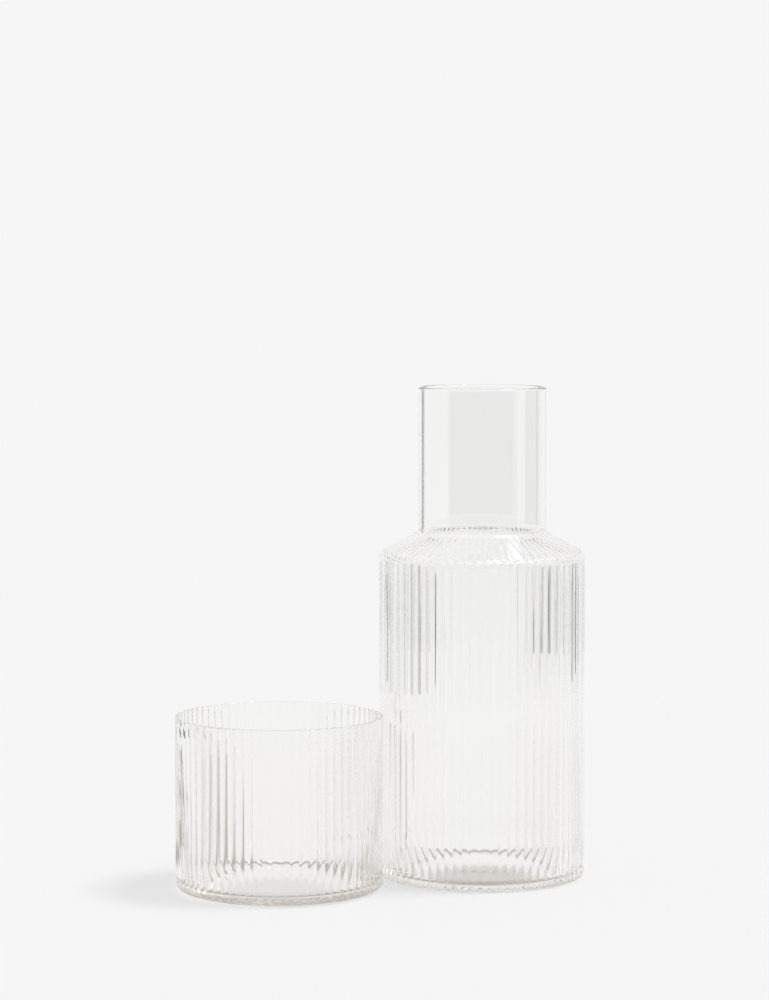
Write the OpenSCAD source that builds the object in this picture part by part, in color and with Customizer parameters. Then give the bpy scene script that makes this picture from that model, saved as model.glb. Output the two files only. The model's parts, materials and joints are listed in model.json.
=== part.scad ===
// Bedside carafe in rippled clear glass, with the tumbler that goes with it.
// Both are hollow glass pieces: the tumbler stands beside the carafe, and turned over
// it drops over the neck as a cover.
// The origin is the centre of the carafe's foot, and +Z is up.

/* [Ripples] */
// Ripples round the carafe and round the tumbler
ripples = 72; // [48:1:80]
// Depth of a ripple on the body, from crest to valley
ripple_depth = 0.6; // [0.3:0.1:0.8]

/* [Carafe] */
// Height of the carafe from its foot to its lip
carafe_h = 207; // [185:1:240]
// Diameter of the body over the ripple crests
body_d = 87; // [78:1:96]
// Height of the body up to the edge of the shoulder
body_h = 137; // [115:1:160]
// Climb of the shoulder from its edge to the neck
shoulder_rise = 9.3; // [6:0.1:14]
// Rounding of the shoulder's edge
shoulder_edge_r = 2.2; // [1:0.1:4]
// Outside diameter of the neck
neck_d = 53.6; // [46:0.2:60]
// Fillet where the shoulder turns up into the neck
neck_fillet_r = 1.8; // [0.8:0.1:3]
// Thickness of the neck
neck_wall = 1.7; // [1.2:0.1:2.6]
// Thickness of the body and shoulder under a ripple crest
body_wall = 1.9; // [1.6:0.1:3]
// Thickness of the carafe's floor
carafe_floor = 2.4; // [2:0.1:8]
// Rounding of the carafe's heel
carafe_heel_r = 2; // [1:0.1:4]
// Rounding inside the carafe, between floor and wall
carafe_corner_r = 2.5; // [1.5:0.5:10]

/* [Tumbler] */
// Height of the tumbler
tumbler_h = 72; // [60:1:90]
// Diameter of the tumbler over the ripple crests
tumbler_d = 86.2; // [78:0.2:96]
// Thickness of the tumbler under a ripple crest, just above its floor
tumbler_wall = 2.2; // [1.8:0.1:3]
// Thickness of the tumbler under a ripple crest, at its lip
tumbler_lip = 1.2; // [1:0.1:1.8]
// Thickness of the tumbler's floor
tumbler_floor = 2.6; // [2:0.1:10]
// Rounding of the tumbler's heel
tumbler_heel_r = 3.6; // [1.5:0.1:6]
// Rounding inside the tumbler, between floor and wall
tumbler_corner_r = 3.5; // [2:0.5:10]
// Depth below the lip over which the tumbler's ripples soften
lip_fade = 4; // [2:0.5:12]

/* [Set on the table] */
// Gap between the two pieces where they stand closest
set_gap = 3.8; // [2:0.1:40]
// Direction from the carafe to the tumbler
set_angle = 200.2; // [0:0.1:359.9]

/* [Hidden] */

// How far a cut runs past the face that it opens
overrun = 2;
// Points along one ripple, and steps along a heel, along another arc of a rippled skin and along
// an arc of a turned profile
ripple_points = 6;
heel_steps = 3;
skin_arc_steps = 2;
turned_arc_steps = 6;
turned_facets = 180;
// Part of the wall that each side of a melted lip rounds off
lip_share = 0.3;
// Part of the full ripple depth left halfway up the neck's fillet, and at the tumbler's lip
fillet_ripple_share = 0.3;
lip_ripple_share = 0.5;

body_r = body_d / 2;
neck_r = neck_d / 2;
tumbler_r = tumbler_d / 2;
body_bore_r = body_r - body_wall;
neck_bore_r = neck_r - neck_wall;
tumbler_bore_r = tumbler_r - tumbler_wall;
tumbler_mouth_r = tumbler_r - tumbler_lip;
neck_lip_r = neck_wall * lip_share;
tumbler_lip_r = tumbler_lip * lip_share;

// The shoulder is a cone: its slope, the height of its sharp corner on the neck
// and the drop from its outside to its inside face
shoulder_slope = atan(shoulder_rise / (body_r - neck_r));
neck_base_h = body_h + shoulder_rise;
shoulder_drop = body_wall / cos(shoulder_slope);
// Distance from a sharp corner of the shoulder to where its rounding starts, as a share of the radius
corner_reach_share = tan((90 - shoulder_slope) / 2);

set_distance = body_r + tumbler_r + set_gap;

glass_tint = [0.9, 0.91, 0.9, 0.45];

// Points on an arc, from one angle to another
function arc(centre, r, from, to, steps) =
    [for (i = [0 : steps])
        let (a = from + (to - from) * i / steps)
        centre + r * [cos(a), sin(a)]];

// A ring of a rippled skin is [smooth radius, height, radius of the ripple crests, share of the ripple depth]
function ring(point, ripple_share) = [point[0], point[1], point[0], ripple_share];

// Radius of a ring at one angle: the ripples have round crests, and their creased valleys cut into the smooth radius
function rippled_radius(skin_ring, a) =
    min(skin_ring[0], skin_ring[2] - ripple_depth * skin_ring[3] * (1 - abs(cos(ripples * a / 2))));

// A smooth round heel, which the valleys run out into, so that they end in a scalloped line
function heel_rings(r, heel_r) =
    [for (point = arc([r - heel_r, heel_r], heel_r, -90, 0, heel_steps)) [point[0], point[1], r, 1]];

// Solid inside a rippled skin, lofted through its rings from the foot upwards
module rippled_solid(rings) {
    n = ripples * ripple_points;
    last = len(rings) - 1;
    points = [for (skin_ring = rings, i = [0 : n - 1])
        let (a = 360 * i / n, r = rippled_radius(skin_ring, a))
        [r * cos(a), r * sin(a), skin_ring[1]]];
    foot_face = [for (i = [0 : n - 1]) i];
    top_centre = [0, 0, rings[last][1]];
    top_faces = [for (i = [0 : n - 1]) [last * n + i, len(points), last * n + (i + 1) % n]];
    lower_faces = [for (k = [0 : last - 1], i = [0 : n - 1])
        [k * n + i, (k + 1) * n + i, k * n + (i + 1) % n]];
    upper_faces = [for (k = [0 : last - 1], i = [0 : n - 1])
        [(k + 1) * n + i, (k + 1) * n + (i + 1) % n, k * n + (i + 1) % n]];
    polyhedron(concat(points, [top_centre]), concat([foot_face], lower_faces, upper_faces, top_faces));
}

// Smooth space inside a piece: floor, rounded corner, wall, any points that draw it in
// towards the mouth, and the melted inner side of the lip
module turned_space(floor_h, wall_r, corner_r, draw_in, mouth_r, lip_r, top_h) {
    corner = arc([wall_r - corner_r, floor_h + corner_r], corner_r, -90, 0, turned_arc_steps);
    lip = arc([mouth_r + lip_r, top_h - lip_r], lip_r, 180, 90, turned_arc_steps);
    open_top = [[mouth_r + lip_r, top_h + overrun], [0, top_h + overrun]];
    rotate_extrude($fn = turned_facets)
        polygon(concat([[0, floor_h]], corner, draw_in, lip, open_top));
}

// Heel, rippled body, shoulder whose ripples draw in to the neck, and the fillet below the neck
module carafe_skin() {
    edge_centre = [body_r - shoulder_edge_r, body_h - shoulder_edge_r * corner_reach_share];
    edge = arc(edge_centre, shoulder_edge_r, 0, 90 - shoulder_slope, skin_arc_steps);
    fillet_centre = [neck_r + neck_fillet_r, neck_base_h + neck_fillet_r * corner_reach_share];
    fillet = arc(fillet_centre, neck_fillet_r, 270 - shoulder_slope, 180, skin_arc_steps);
    inside_neck = [neck_r - neck_wall / 2, fillet_centre[1]];
    rippled_solid(concat(
        heel_rings(body_r, carafe_heel_r),
        [for (point = edge) ring(point, 1)],
        [ring(fillet[0], fillet[0][0] / body_r),
         ring(fillet[1], fillet_ripple_share),
         ring(inside_neck, 0)]));
}

// Smooth neck, still solid, with the outer side of its lip melted round
module neck_blank() {
    lip = arc([neck_r - neck_lip_r, carafe_h - neck_lip_r], neck_lip_r, 0, 90, turned_arc_steps);
    rotate_extrude($fn = turned_facets)
        polygon(concat([[0, body_h], [neck_r, body_h]], lip, [[0, carafe_h]]));
}

module carafe() {
    wall_top_h = body_h + body_wall * tan(shoulder_slope) - shoulder_drop;
    neck_foot_h = body_h + (body_r - neck_bore_r) * tan(shoulder_slope) - shoulder_drop;
    shoulder = [[body_bore_r, wall_top_h], [neck_bore_r, neck_foot_h]];
    color(glass_tint)
    difference() {
        union() {
            carafe_skin();
            neck_blank();
        }
        turned_space(carafe_floor, body_bore_r, carafe_corner_r, shoulder,
            neck_bore_r, neck_lip_r, carafe_h);
    }
}

module tumbler() {
    fade_foot = [tumbler_r, tumbler_h - lip_fade];
    lip_foot = [tumbler_r, tumbler_h - tumbler_lip_r];
    lip_edge = [tumbler_r - tumbler_lip_r, tumbler_h];
    color(glass_tint)
    translate(set_distance * [cos(set_angle), sin(set_angle), 0])
    difference() {
        rippled_solid(concat(
            heel_rings(tumbler_r, tumbler_heel_r),
            [ring(fade_foot, 1),
             ring(lip_foot, lip_ripple_share),
             ring(lip_edge, lip_ripple_share)]));
        turned_space(tumbler_floor, tumbler_bore_r, tumbler_corner_r, [],
            tumbler_mouth_r, tumbler_lip_r, tumbler_h);
    }
}

carafe();
tumbler();
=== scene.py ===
"""Bedside carafe and tumbler in rippled clear glass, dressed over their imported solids.

Each glass is turned from its wall section: the section is drawn by extruding one point along it, spun
through a single ripple, pressed into the ripple's curve and then copied round the axis. Units are metres.
"""
import json
from math import atan, atan2, ceil, cos, hypot, pi, radians, sin, tan

import bmesh
import bpy
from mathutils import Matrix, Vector


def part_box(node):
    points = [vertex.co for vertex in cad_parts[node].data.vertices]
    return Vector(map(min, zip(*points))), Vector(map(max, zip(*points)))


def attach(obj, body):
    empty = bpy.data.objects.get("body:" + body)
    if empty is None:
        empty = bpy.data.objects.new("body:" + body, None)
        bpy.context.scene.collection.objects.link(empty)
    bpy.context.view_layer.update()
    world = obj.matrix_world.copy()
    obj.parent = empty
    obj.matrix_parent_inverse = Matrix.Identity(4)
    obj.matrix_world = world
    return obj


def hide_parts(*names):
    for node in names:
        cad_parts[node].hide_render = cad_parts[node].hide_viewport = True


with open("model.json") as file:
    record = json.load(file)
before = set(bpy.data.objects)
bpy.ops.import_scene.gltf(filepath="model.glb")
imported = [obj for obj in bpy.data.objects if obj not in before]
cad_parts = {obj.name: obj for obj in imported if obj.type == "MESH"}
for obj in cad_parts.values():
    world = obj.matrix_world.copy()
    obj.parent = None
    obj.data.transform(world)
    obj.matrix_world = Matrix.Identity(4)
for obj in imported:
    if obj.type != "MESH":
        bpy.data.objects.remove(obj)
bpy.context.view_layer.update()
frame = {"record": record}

MM = 0.001

# Sizes of the carafe, the rest of which come from its solid
BODY_D = 87 * MM
BODY_H = 137 * MM
SHOULDER_RISE = 9.3 * MM
SHOULDER_EDGE_R = 2.2 * MM
SHOULDER_INNER_R = 2.4 * MM
NECK_D = 53.6 * MM
NECK_FILLET_R = 1.8 * MM
NECK_INNER_FILLET_R = 3.2 * MM
BODY_WALL = 1.9 * MM
CARAFE_FLOOR = 2.4 * MM
CARAFE_HEEL_R = 2 * MM
CARAFE_CORNER_R = 2.5 * MM
# Part of half the neck's wall that each side of its melted lip rounds off
CARAFE_LIP_SHARE = 0.98

# Sizes of the tumbler, the rest of which come from its solid
TUMBLER_WALL = 2.2 * MM
TUMBLER_LIP = 1.2 * MM
TUMBLER_FLOOR = 2.6 * MM
TUMBLER_HEEL_R = 3.6 * MM
TUMBLER_CORNER_R = 3.5 * MM
# Depth below the lip over which the ripples soften
LIP_FADE = 4 * MM
# Part of the lip's thickness that each side of it rounds off
TUMBLER_LIP_SHARE = 0.4

# The ripples: how many, how deep, and how sharp their valleys are, where 1 is a perfect crease
RIPPLES = 72
PITCH = 2 * pi / RIPPLES
RIPPLE_DEPTH = 0.6 * MM
CREASE = 0.999
# Shares of that depth on the shoulder and at the tumbler's lip
SHOULDER_RIPPLE_SHARE = 0.7
LIP_RIPPLE_SHARE = 0.5
# Where the columns of a ripple stand, as shares of the way from crest to crest.
# They crowd towards the crease
COLUMN_SHARES = (0, 0.11, 0.22, 0.32, 0.39, 0.44, 0.475, 0.5, 0.525, 0.56, 0.61, 0.68, 0.78, 0.89, 1)

# Fineness of the wall sections: steps along an arc, and the longest step along a straight run
ARC_STEPS = 7
CARAFE_ROWS = 35 * MM
TUMBLER_ROWS = 6 * MM
# How far a guard row stands from the end of a straight run, and the run that is too short for guard rows
GUARD = 0.4 * MM
SHORT_RUN = 4 * GUARD
# Points closer than this are one, and draws that agree to this many decimals are made together
WELD = 0.001 * MM
DRAW_DECIMALS = 6

# Clear glass, with slow waves in its blown skin and a faint cloud of tint.
# The denser a glass is, the more of the wall's colour shows in its thick places
GLASS_IOR = 1.5
WAVE_SCALE = 30
WAVE_DETAIL = 1
WAVE_STRETCH = (1, 1, 0.35)
WAVE_STRENGTH = 0.15
WAVE_HEIGHT = 2 * MM
CLOUD_SCALE = 18
CLOUD_DETAIL = 2
CLEAR = (0.998, 0.997, 0.996)
CARAFE_TINT = (0.985, 0.982, 0.979)
TUMBLER_TINT = (0.985, 0.981, 0.977)
WALL_COLOUR = (0.61, 0.55, 0.46)
CARAFE_DENSITY = 3.5
TUMBLER_DENSITY = 9

# The pale studio, with a fill from all round and one soft key high on the right
PALE = 0.92
FILL = 0.5
KEY_AZIMUTH = radians(90)
KEY_ELEVATION = radians(66)
KEY_SOFTNESS = radians(18)
BOUNCES = 64

# In the tables below an azimuth is in degrees, from straight ahead of the camera towards its right hand.
# A height in the studio is the sine of its elevation

# The dim end of the room behind the camera, which the glass mirrors: how far round it reaches,
# as the Y of a direction, and its bands, each with its lowest and highest height and its level
DIM_END = (-0.45, -0.38)
DIM_BANDS = ((-0.135, -0.088, 0.68), (-0.088, -0.03, 0.3))
DIM_BLUR = 0.004

# Dark cards that only the glass picks up, each with its first and last azimuth, its lowest and highest
# height and its darkness. The carafe's body picks up the first four, its neck the next two and the
# tumbler the last one
CARDS = (
    (33, 48, -0.1205, -0.0945, 1),
    (54, 89, -0.114, -0.0945, 0.1),
    (-40.5, -29, -0.133, -0.093, 1),
    (-89, -50, -0.133, -0.093, 0.05),
    (-42, -32, -0.088, 0.15, 1),
    (6, 16, -0.088, 0.15, 0.12),
    (-52, -36, -0.158, -0.146, 0.8),
)
CARD_SIDE_BLUR = 0.3
CARD_END_BLUR = 0.001

# The white sweep under the pair, a hair below their feet.
# Part of its light is its own glow: one share as the camera sees it, and a larger one as the glass does
SWEEP_LEFT, SWEEP_RIGHT = -0.33, 0.26
SWEEP_FRONT, SWEEP_BACK = -0.9, 1.5
SWEEP_GAP = 0.4 * MM
GLOW_SHARE = 0.7
GLASS_GLOW_SHARE = 0.95

# Shade on the sweep, which only the glass picks up: a spot under each foot, forward of its middle,
# a ring under its heel, and fans that run out from it
SHADE_COLOUR = (0.25, 0.2, 0.13)
SPOT_SHADES = {"carafe": 0.78, "tumbler": 0.35}
SPOT_R, SPOT_FORWARD, SPOT_BLUR = 26 * MM, 16 * MM, 7 * MM
HEEL_SHADE = 0.75
HEEL_INSET, HEEL_REACH, HEEL_BLUR = 2.5 * MM, 1.5 * MM, 1 * MM
# Each fan has its first and last azimuth, its nearest and farthest distance from the axis of its glass
# and its darkness
FANS = {
    "carafe": ((33, 55, 48 * MM, 600 * MM, 0.15),),
    "tumbler": ((-52, -36, 47 * MM, 500 * MM, 0.8), (40, 95, 46 * MM, 52 * MM, 0.7)),
}
FAN_SIDE_BLUR = 1
FAN_END_BLUR = 3 * MM

# The camera stands a little higher than the carafe's lip, before the middle of the pair, and looks
# slightly down. Its lens is known from its focal length in pixels of a picture of this height
CAMERA_AT = (-0.0412, -1.3766, 0.2626)
CAMERA_PITCH = 0.075
FOCAL_PIXELS = 3272.4
PICTURE_HEIGHT = 1000
SENSOR = 36


def smoothstep(low, high, value):
    """0 up to low, 1 from high on, and a smooth rise between them."""
    t = min(max((value - low) / (high - low), 0.0), 1.0)
    return t * t * (3 - 2 * t)


def rounded(corners):
    """Rows of a wall section from its corners, (radius, height, rounding), with each rounding as an arc."""
    rows = [Vector(corners[0][:2])]
    for before, here, after in zip(corners, corners[1:], corners[2:]):
        point, size = Vector(here[:2]), here[2]
        back = (Vector(before[:2]) - point).normalized()
        ahead = (Vector(after[:2]) - point).normalized()
        half = back.angle(ahead) / 2
        centre = point + (back + ahead).normalized() * (size / sin(half))
        start = point + back * (size / tan(half)) - centre
        end = point + ahead * (size / tan(half)) - centre
        sweep = start.angle(end)
        for i in range(ARC_STEPS + 1):
            t = i / ARC_STEPS
            spoke = (start * sin((1 - t) * sweep) + end * sin(t * sweep)) / sin(sweep)
            rows.append(centre + spoke)
    rows.append(Vector(corners[-1][:2]))
    return rows


def with_rows_between(rows, spacing):
    """The same section with rows no further apart than the spacing, and guard rows on its straight runs.

    A guard row close to each end keeps the smooth shading of the roundings out of the run.
    """
    fine = [rows[0]]
    for a, b in zip(rows, rows[1:]):
        length = (b - a).length
        if length > SHORT_RUN:
            first, last = a.lerp(b, GUARD / length), b.lerp(a, GUARD / length)
            pieces = ceil((last - first).length / spacing)
            fine += [first.lerp(last, i / pieces) for i in range(pieces + 1)]
        fine.append(b)
    return fine


def draw_section(name, rows):
    """One vertex, extruded along the wall section in the XZ plane and left in edit mode."""
    bpy.ops.object.select_all(action="DESELECT")
    bpy.ops.mesh.primitive_plane_add(size=MM, location=(0, 0, 0))
    piece = bpy.context.object
    piece.name = piece.data.name = name
    bpy.ops.object.mode_set(mode="EDIT")
    bpy.ops.mesh.select_mode(type="VERT")
    bpy.ops.mesh.select_all(action="SELECT")
    bpy.ops.mesh.merge(type="CENTER")
    bpy.ops.transform.translate(value=(rows[0].x, 0, rows[0].y))
    for a, b in zip(rows, rows[1:]):
        step = b - a
        bpy.ops.mesh.extrude_region_move(TRANSFORM_OT_translate={"value": (step.x, 0, step.y)})
    return piece


def creased_ripple(across):
    """Share of the depth on a wall, from the round crest at 0 and 1 to the creased valley halfway."""
    return (1 - (1 - CREASE * sin(pi * across) ** 2) ** 0.5) / (1 - (1 - CREASE) ** 0.5)


def melted_ripple(across):
    """Share of the depth on the shoulder, where crests and valleys are equally round."""
    return (1 - cos(2 * pi * across)) / 2


def cut_heel(radius, wall_r, draw):
    """How far a point of a smooth heel is drawn in where the wall's valleys run straight down into it."""
    return max(0, 1 - wall_r * (1 - draw) / radius)


def select_verts(piece, members):
    """Selects only the vertices with these indices."""
    mesh = bmesh.from_edit_mesh(piece.data)
    mesh.verts.ensure_lookup_table()
    bpy.ops.mesh.select_all(action="DESELECT")
    for index in members:
        mesh.verts[index].select_set(True)
    mesh.select_flush_mode()


def press_ripple(piece, draw_at):
    """Spins the section through one ripple, shifts its columns and draws their points in towards the axis.

    draw_at gives how far, as a share of the radius, a point at a radius and height is drawn in, at a share
    of the way across the ripple.
    """
    steps = len(COLUMN_SHARES) - 1
    bpy.ops.mesh.select_all(action="SELECT")
    bpy.ops.mesh.spin(steps=steps, angle=PITCH, center=(0, 0, 0), axis=(0, 0, 1))
    mesh = bmesh.from_edit_mesh(piece.data)
    columns = {}
    drawn = {}
    for vert in mesh.verts:
        radius = hypot(vert.co.x, vert.co.y)
        if radius < WELD:
            continue
        column = round(abs(atan2(vert.co.y, vert.co.x)) / PITCH * steps)
        columns.setdefault(column, []).append(vert.index)
        draw = draw_at(radius, vert.co.z, COLUMN_SHARES[column])
        if draw > 0:
            drawn.setdefault(round(1 - draw, DRAW_DECIMALS), []).append(vert.index)
    for column, members in columns.items():
        select_verts(piece, members)
        shift = (COLUMN_SHARES[column] - column / steps) * PITCH
        bpy.ops.transform.rotate(value=shift, orient_axis="Z", center_override=(0, 0, 0))
    for size, members in drawn.items():
        select_verts(piece, members)
        bpy.ops.transform.resize(value=(size, size, 1), center_override=(0, 0, 0))


def close_round(piece, centre):
    """Copies the pressed ripple round the axis, welds the copies and sets the piece in its place."""
    bpy.ops.mesh.select_all(action="SELECT")
    bpy.ops.mesh.spin(steps=RIPPLES - 1, angle=PITCH * (RIPPLES - 1), dupli=True,
                      center=(0, 0, 0), axis=(0, 0, 1))
    bpy.ops.mesh.select_all(action="SELECT")
    bpy.ops.mesh.remove_doubles(threshold=WELD)
    bpy.ops.mesh.normals_make_consistent(inside=False)
    bpy.ops.transform.translate(value=(centre.x, centre.y, 0))
    bpy.ops.object.mode_set(mode="OBJECT")
    bpy.ops.object.shade_smooth()


def rippled_piece(name, rows, draw_at, centre):
    """A whole glass from its wall section and the draw of its ripples."""
    piece = draw_section(name, rows)
    press_ripple(piece, draw_at)
    close_round(piece, centre)
    return piece


def carafe_glass():
    """The carafe: creased ripples on the body, melted ones on the shoulder, smooth neck and inside."""
    low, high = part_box("carafe")
    body_r = BODY_D / 2
    top = high.z
    mouth = next(m for m in frame["record"]["mounts"] if m["name"] == "neck_mouth")
    bore_r = mouth["dims"]["r_mm"] * MM
    neck_r = NECK_D / 2
    lip_r = (neck_r - bore_r) / 2 * CARAFE_LIP_SHARE
    slope = SHOULDER_RISE / (body_r - neck_r)
    neck_foot = BODY_H + SHOULDER_RISE
    drop = BODY_WALL / cos(atan(slope))
    wall_r = body_r - BODY_WALL
    rows = with_rows_between(rounded([
        (0, 0, 0),
        (body_r, 0, CARAFE_HEEL_R),
        (body_r, BODY_H, SHOULDER_EDGE_R),
        (neck_r, neck_foot, NECK_FILLET_R),
        (neck_r, top, lip_r),
        (bore_r, top, lip_r),
        (bore_r, BODY_H + (body_r - bore_r) * slope - drop, NECK_INNER_FILLET_R),
        (wall_r, BODY_H + BODY_WALL * slope - drop, SHOULDER_INNER_R),
        (wall_r, CARAFE_FLOOR, CARAFE_CORNER_R),
        (0, CARAFE_FLOOR, 0),
    ]), CARAFE_ROWS)

    def draw_at(radius, height, across):
        under_shoulder = height < BODY_H + (body_r - radius) * slope - drop / 2
        within_wall = radius < body_r - BODY_WALL / 2
        if height > CARAFE_FLOOR - WELD and under_shoulder and within_wall:
            return 0
        melt = smoothstep(BODY_H - SHOULDER_EDGE_R, BODY_H + SHOULDER_EDGE_R, height)
        creased = creased_ripple(across)
        share = creased + (SHOULDER_RIPPLE_SHARE * melted_ripple(across) - creased) * melt
        draw = RIPPLE_DEPTH / body_r * share
        if height < CARAFE_HEEL_R:
            return cut_heel(radius, body_r, draw)
        return draw * smoothstep(neck_r, neck_r + NECK_FILLET_R, radius)

    return rippled_piece("rippled_carafe", rows, draw_at, (low + high) / 2)


def tumbler_glass():
    """The tumbler: creased ripples that soften towards the lip, and a smooth inside that widens upwards."""
    low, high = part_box("tumbler")
    outer_r = (high.x - low.x) / 2
    top = high.z
    wall_r = outer_r - TUMBLER_WALL
    mouth_r = outer_r - TUMBLER_LIP
    lip_r = TUMBLER_LIP * TUMBLER_LIP_SHARE
    rows = with_rows_between(rounded([
        (0, 0, 0),
        (outer_r, 0, TUMBLER_HEEL_R),
        (outer_r, top, lip_r),
        (mouth_r, top, lip_r),
        (wall_r, TUMBLER_FLOOR, TUMBLER_CORNER_R),
        (0, TUMBLER_FLOOR, 0),
    ]), TUMBLER_ROWS)

    def draw_at(radius, height, across):
        within_wall = radius < wall_r + (mouth_r - wall_r) * height / top + TUMBLER_LIP / 2
        if height > TUMBLER_FLOOR - WELD and within_wall:
            return 0
        lip_fade = 1 - (1 - LIP_RIPPLE_SHARE) * smoothstep(top - LIP_FADE, top, height)
        draw = RIPPLE_DEPTH / outer_r * lip_fade * creased_ripple(across)
        if height < TUMBLER_HEEL_R:
            return cut_heel(radius, outer_r, draw)
        return draw

    return rippled_piece("rippled_tumbler", rows, draw_at, (low + high) / 2)


def node(tree, kind, **settings):
    """A new shader node with these settings."""
    made = tree.nodes.new(kind)
    for name, value in settings.items():
        setattr(made, name, value)
    return made


def blown_glass_skin():
    """Slow waves in the skin of blown glass, and the faint cloud of tint that goes with its thickness."""
    group = bpy.data.node_groups.new("Blown glass skin", "ShaderNodeTree")
    group.interface.new_socket("Wave scale", in_out="INPUT", socket_type="NodeSocketFloat")
    group.interface.new_socket("Clear", in_out="INPUT", socket_type="NodeSocketColor")
    group.interface.new_socket("Tint", in_out="INPUT", socket_type="NodeSocketColor")
    group.interface.new_socket("Height", in_out="OUTPUT", socket_type="NodeSocketFloat")
    group.interface.new_socket("Color", in_out="OUTPUT", socket_type="NodeSocketColor")
    inputs = node(group, "NodeGroupInput")
    outputs = node(group, "NodeGroupOutput")
    place = node(group, "ShaderNodeTexCoord")
    stretch = node(group, "ShaderNodeMapping")
    stretch.inputs["Scale"].default_value = WAVE_STRETCH
    waves = node(group, "ShaderNodeTexNoise")
    waves.inputs["Detail"].default_value = WAVE_DETAIL
    cloud = node(group, "ShaderNodeTexNoise")
    cloud.inputs["Scale"].default_value = CLOUD_SCALE
    cloud.inputs["Detail"].default_value = CLOUD_DETAIL
    mix = node(group, "ShaderNodeMix", data_type="RGBA")
    link = group.links.new
    link(place.outputs["Object"], stretch.inputs["Vector"])
    link(stretch.outputs["Vector"], waves.inputs["Vector"])
    link(inputs.outputs["Wave scale"], waves.inputs["Scale"])
    link(place.outputs["Object"], cloud.inputs["Vector"])
    link(cloud.outputs["Fac"], mix.inputs["Factor"])
    link(inputs.outputs["Clear"], mix.inputs["A"])
    link(inputs.outputs["Tint"], mix.inputs["B"])
    link(waves.outputs["Fac"], outputs.inputs["Height"])
    link(mix.outputs["Result"], outputs.inputs["Color"])
    return group


def clear_glass(name, skin, tint, density):
    """Clear polished glass with the skin of a blown piece, which takes on colour with its thickness."""
    material = bpy.data.materials.new(name)
    material.use_nodes = True
    tree = material.node_tree
    shader = tree.nodes["Principled BSDF"]
    shader.inputs["Roughness"].default_value = 0
    shader.inputs["IOR"].default_value = GLASS_IOR
    shader.inputs["Transmission Weight"].default_value = 1
    blown = node(tree, "ShaderNodeGroup", node_tree=skin)
    blown.inputs["Wave scale"].default_value = WAVE_SCALE
    blown.inputs["Clear"].default_value = (*CLEAR, 1)
    blown.inputs["Tint"].default_value = (*tint, 1)
    bump = node(tree, "ShaderNodeBump")
    bump.inputs["Strength"].default_value = WAVE_STRENGTH
    bump.inputs["Distance"].default_value = WAVE_HEIGHT
    tree.links.new(blown.outputs["Height"], bump.inputs["Height"])
    tree.links.new(bump.outputs["Normal"], shader.inputs["Normal"])
    tree.links.new(blown.outputs["Color"], shader.inputs["Base Color"])
    wall = node(tree, "ShaderNodeVolumeAbsorption")
    wall.inputs["Color"].default_value = (*WALL_COLOUR, 1)
    wall.inputs["Density"].default_value = density
    tree.links.new(wall.outputs["Volume"], tree.nodes["Material Output"].inputs["Volume"])
    return material


def feed(tree, value, socket):
    """Gives a socket a plain number, or links another socket to it."""
    if isinstance(value, (int, float)):
        socket.default_value = value
    else:
        tree.links.new(value, socket)


def combine(tree, operation, a, b):
    """Two values joined by a math operation."""
    join = node(tree, "ShaderNodeMath", operation=operation)
    feed(tree, a, join.inputs[0])
    feed(tree, b, join.inputs[1])
    return join.outputs["Value"]


def blend(tree, factor, a, b):
    """Level a where the factor is 0 and level b where it is 1."""
    mix = node(tree, "ShaderNodeMix", data_type="FLOAT")
    feed(tree, factor, mix.inputs["Factor"])
    feed(tree, a, mix.inputs["A"])
    feed(tree, b, mix.inputs["B"])
    return mix.outputs["Result"]


def ramp(tree, value, low, high, start=0, end=1):
    """A value that goes smoothly from start to end while another goes from low to high."""
    step = node(tree, "ShaderNodeMapRange", interpolation_type="SMOOTHSTEP")
    step.inputs["From Min"].default_value = low
    step.inputs["From Max"].default_value = high
    step.inputs["To Min"].default_value = start
    step.inputs["To Max"].default_value = end
    feed(tree, value, step.inputs["Value"])
    return step.outputs["Result"]


def soft_band(tree, value, low, high, blur):
    """A mask that is 1 between low and high and fades to 0 over the blur outside them."""
    rise = ramp(tree, value, low - blur, low)
    fall = ramp(tree, value, high, high + blur, 1, 0)
    return combine(tree, "MULTIPLY", rise, fall)


def sector(tree, azimuth, first, last, blur):
    """A soft band between two azimuths, given in degrees."""
    return soft_band(tree, azimuth, radians(first), radians(last), radians(blur))


def add_patch(tree, so_far, across, along, darkness):
    """The darkness so far, or that of a patch under two masks where it is darker."""
    patch = combine(tree, "MULTIPLY", combine(tree, "MULTIPLY", across, along), darkness)
    return combine(tree, "MAXIMUM", so_far, patch)


def split(tree, vector):
    """The X, Y and Z of a vector, by name."""
    parts = node(tree, "ShaderNodeSeparateXYZ")
    tree.links.new(vector, parts.inputs["Vector"])
    return parts.outputs


def offset(tree, place, point):
    """The way to a place on the sweep from a point that lies on it, and its length."""
    away = node(tree, "ShaderNodeVectorMath", operation="SUBTRACT")
    away.inputs[1].default_value = (point.x, point.y, -SWEEP_GAP)
    tree.links.new(place, away.inputs[0])
    length = node(tree, "ShaderNodeVectorMath", operation="LENGTH")
    tree.links.new(away.outputs["Vector"], length.inputs[0])
    return away.outputs["Vector"], length.outputs["Value"]


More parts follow.
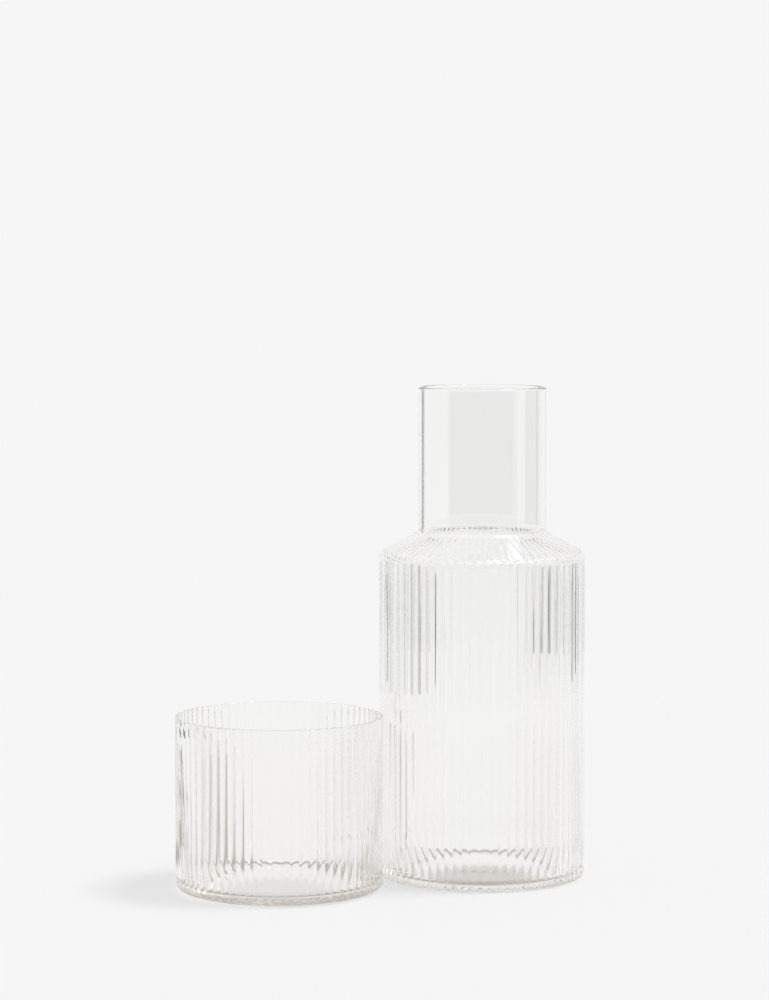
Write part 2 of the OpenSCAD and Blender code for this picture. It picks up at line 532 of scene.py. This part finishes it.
def foot_shade(tree, place, name, so_far):
    """The shade so far, with the spot, the ring and the fans of one glass."""
    low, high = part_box(name)
    centre = (low + high) / 2
    foot_r = (high.x - low.x) / 2
    way, reach = offset(tree, place, centre)
    parts = split(tree, way)
    azimuth = combine(tree, "ARCTAN2", parts["X"], parts["Y"])
    ring = soft_band(tree, reach, foot_r - HEEL_INSET, foot_r + HEEL_REACH, HEEL_BLUR)
    shade = combine(tree, "MAXIMUM", so_far, combine(tree, "MULTIPLY", ring, HEEL_SHADE))
    spot_reach = offset(tree, place, centre - Vector((0, SPOT_FORWARD, 0)))[1]
    spot = ramp(tree, spot_reach, SPOT_R - SPOT_BLUR, SPOT_R + SPOT_BLUR, SPOT_SHADES[name], 0)
    shade = combine(tree, "MAXIMUM", shade, spot)
    for first, last, near, far, darkness in FANS[name]:
        across = sector(tree, azimuth, first, last, FAN_SIDE_BLUR)
        along = soft_band(tree, reach, near, far, FAN_END_BLUR)
        shade = add_patch(tree, shade, across, along, darkness)
    return shade


def white_card():
    """White card with an even glow of its own, on which only the glass sees the shade round the feet."""
    material = bpy.data.materials.new("White card")
    material.use_nodes = True
    tree = material.node_tree
    tree.nodes.remove(tree.nodes["Principled BSDF"])
    link = tree.links.new
    place = node(tree, "ShaderNodeTexCoord").outputs["Object"]
    shade = foot_shade(tree, place, "carafe", 0)
    shade = foot_shade(tree, place, "tumbler", shade)
    ray = node(tree, "ShaderNodeLightPath").outputs
    not_camera = combine(tree, "SUBTRACT", 1, ray["Is Camera Ray"])
    colour = node(tree, "ShaderNodeMix", data_type="RGBA")
    colour.inputs["A"].default_value = (PALE, PALE, PALE, 1)
    colour.inputs["B"].default_value = (*SHADE_COLOUR, 1)
    link(combine(tree, "MULTIPLY", shade, not_camera), colour.inputs["Factor"])
    matt = node(tree, "ShaderNodeBsdfDiffuse")
    link(colour.outputs["Result"], matt.inputs["Color"])
    glow = node(tree, "ShaderNodeEmission")
    link(colour.outputs["Result"], glow.inputs["Color"])
    lit = node(tree, "ShaderNodeMixShader")
    link(blend(tree, not_camera, GLOW_SHARE, GLASS_GLOW_SHARE), lit.inputs["Fac"])
    link(matt.outputs["BSDF"], lit.inputs[1])
    link(glow.outputs["Emission"], lit.inputs[2])
    link(lit.outputs["Shader"], tree.nodes["Material Output"].inputs["Surface"])
    return material


def white_sweep():
    """The white sweep that the pair stands on."""
    bpy.ops.object.select_all(action="DESELECT")
    bpy.ops.mesh.primitive_plane_add(size=1, location=(0, 0, 0))
    sweep = bpy.context.object
    sweep.name = sweep.data.name = "white_sweep"
    bpy.ops.object.mode_set(mode="EDIT")
    bpy.ops.mesh.select_all(action="SELECT")
    bpy.ops.transform.resize(value=(SWEEP_RIGHT - SWEEP_LEFT, SWEEP_BACK - SWEEP_FRONT, 1))
    middle = ((SWEEP_LEFT + SWEEP_RIGHT) / 2, (SWEEP_FRONT + SWEEP_BACK) / 2)
    bpy.ops.transform.translate(value=(*middle, -SWEEP_GAP))
    bpy.ops.object.mode_set(mode="OBJECT")
    sweep.data.materials.append(white_card())


def studio():
    """Even pale surroundings, with the cards and the dim end of the room that only the glass picks up."""
    world = bpy.data.worlds.new("Studio")
    bpy.context.scene.world = world
    world.use_nodes = True
    tree = world.node_tree
    look = split(tree, node(tree, "ShaderNodeTexCoord").outputs["Generated"])
    azimuth = combine(tree, "ARCTAN2", look["X"], look["Y"])
    dark = 0
    for first, last, lowest, highest, darkness in CARDS:
        across = sector(tree, azimuth, first, last, CARD_SIDE_BLUR)
        along = soft_band(tree, look["Z"], lowest, highest, CARD_END_BLUR)
        dark = add_patch(tree, dark, across, along, darkness)
    behind = ramp(tree, look["Y"], *DIM_END, 1, 0)
    room = PALE
    for lowest, highest, level in DIM_BANDS:
        band = soft_band(tree, look["Z"], lowest, highest, DIM_BLUR)
        room = blend(tree, combine(tree, "MULTIPLY", behind, band), room, level)
    room = blend(tree, dark, room, 0)
    ray = node(tree, "ShaderNodeLightPath").outputs
    by_glass = combine(tree, "MAXIMUM", ray["Is Glossy Ray"], ray["Is Transmission Ray"])
    light = blend(tree, by_glass, FILL, room)
    back = tree.nodes["Background"]
    back.inputs["Color"].default_value = (1, 1, 1, 1)
    tree.links.new(blend(tree, ray["Is Camera Ray"], light, PALE), back.inputs["Strength"])


def key_light():
    """The soft key, as strong as the fill leaves room for: a level white card is lit to 1 by the two."""
    key = bpy.data.lights.new("Key", "SUN")
    key.angle = KEY_SOFTNESS
    key.energy = (1 - FILL) * pi / sin(KEY_ELEVATION)
    lamp = bpy.data.objects.new("Key", key)
    bpy.context.scene.collection.objects.link(lamp)
    flat = cos(KEY_ELEVATION)
    to_key = Vector((sin(KEY_AZIMUTH) * flat, cos(KEY_AZIMUTH) * flat, sin(KEY_ELEVATION)))
    lamp.rotation_euler = (-to_key).to_track_quat("-Z", "Y").to_euler()


def camera():
    """The camera in its place, with its lens."""
    lens = bpy.data.cameras.new("Camera")
    lens.sensor_width = SENSOR
    lens.lens = FOCAL_PIXELS * SENSOR / PICTURE_HEIGHT
    stand = bpy.data.objects.new("Camera", lens)
    stand.location = CAMERA_AT
    stand.rotation_euler = (pi / 2 - CAMERA_PITCH, 0, 0)
    bpy.context.scene.collection.objects.link(stand)
    bpy.context.scene.camera = stand


bpy.context.scene.view_settings.view_transform = "Standard"
bpy.context.scene.cycles.max_bounces = BOUNCES
bpy.context.scene.cycles.glossy_bounces = BOUNCES
bpy.context.scene.cycles.transmission_bounces = BOUNCES
camera()
studio()
key_light()
white_sweep()

skin = blown_glass_skin()
carafe = carafe_glass()
carafe.data.materials.append(clear_glass("Carafe glass", skin, CARAFE_TINT, CARAFE_DENSITY))
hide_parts("carafe")
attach(carafe, "carafe")

tumbler = tumbler_glass()
tumbler.data.materials.append(clear_glass("Tumbler glass", skin, TUMBLER_TINT, TUMBLER_DENSITY))
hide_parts("tumbler")
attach(tumbler, "tumbler")
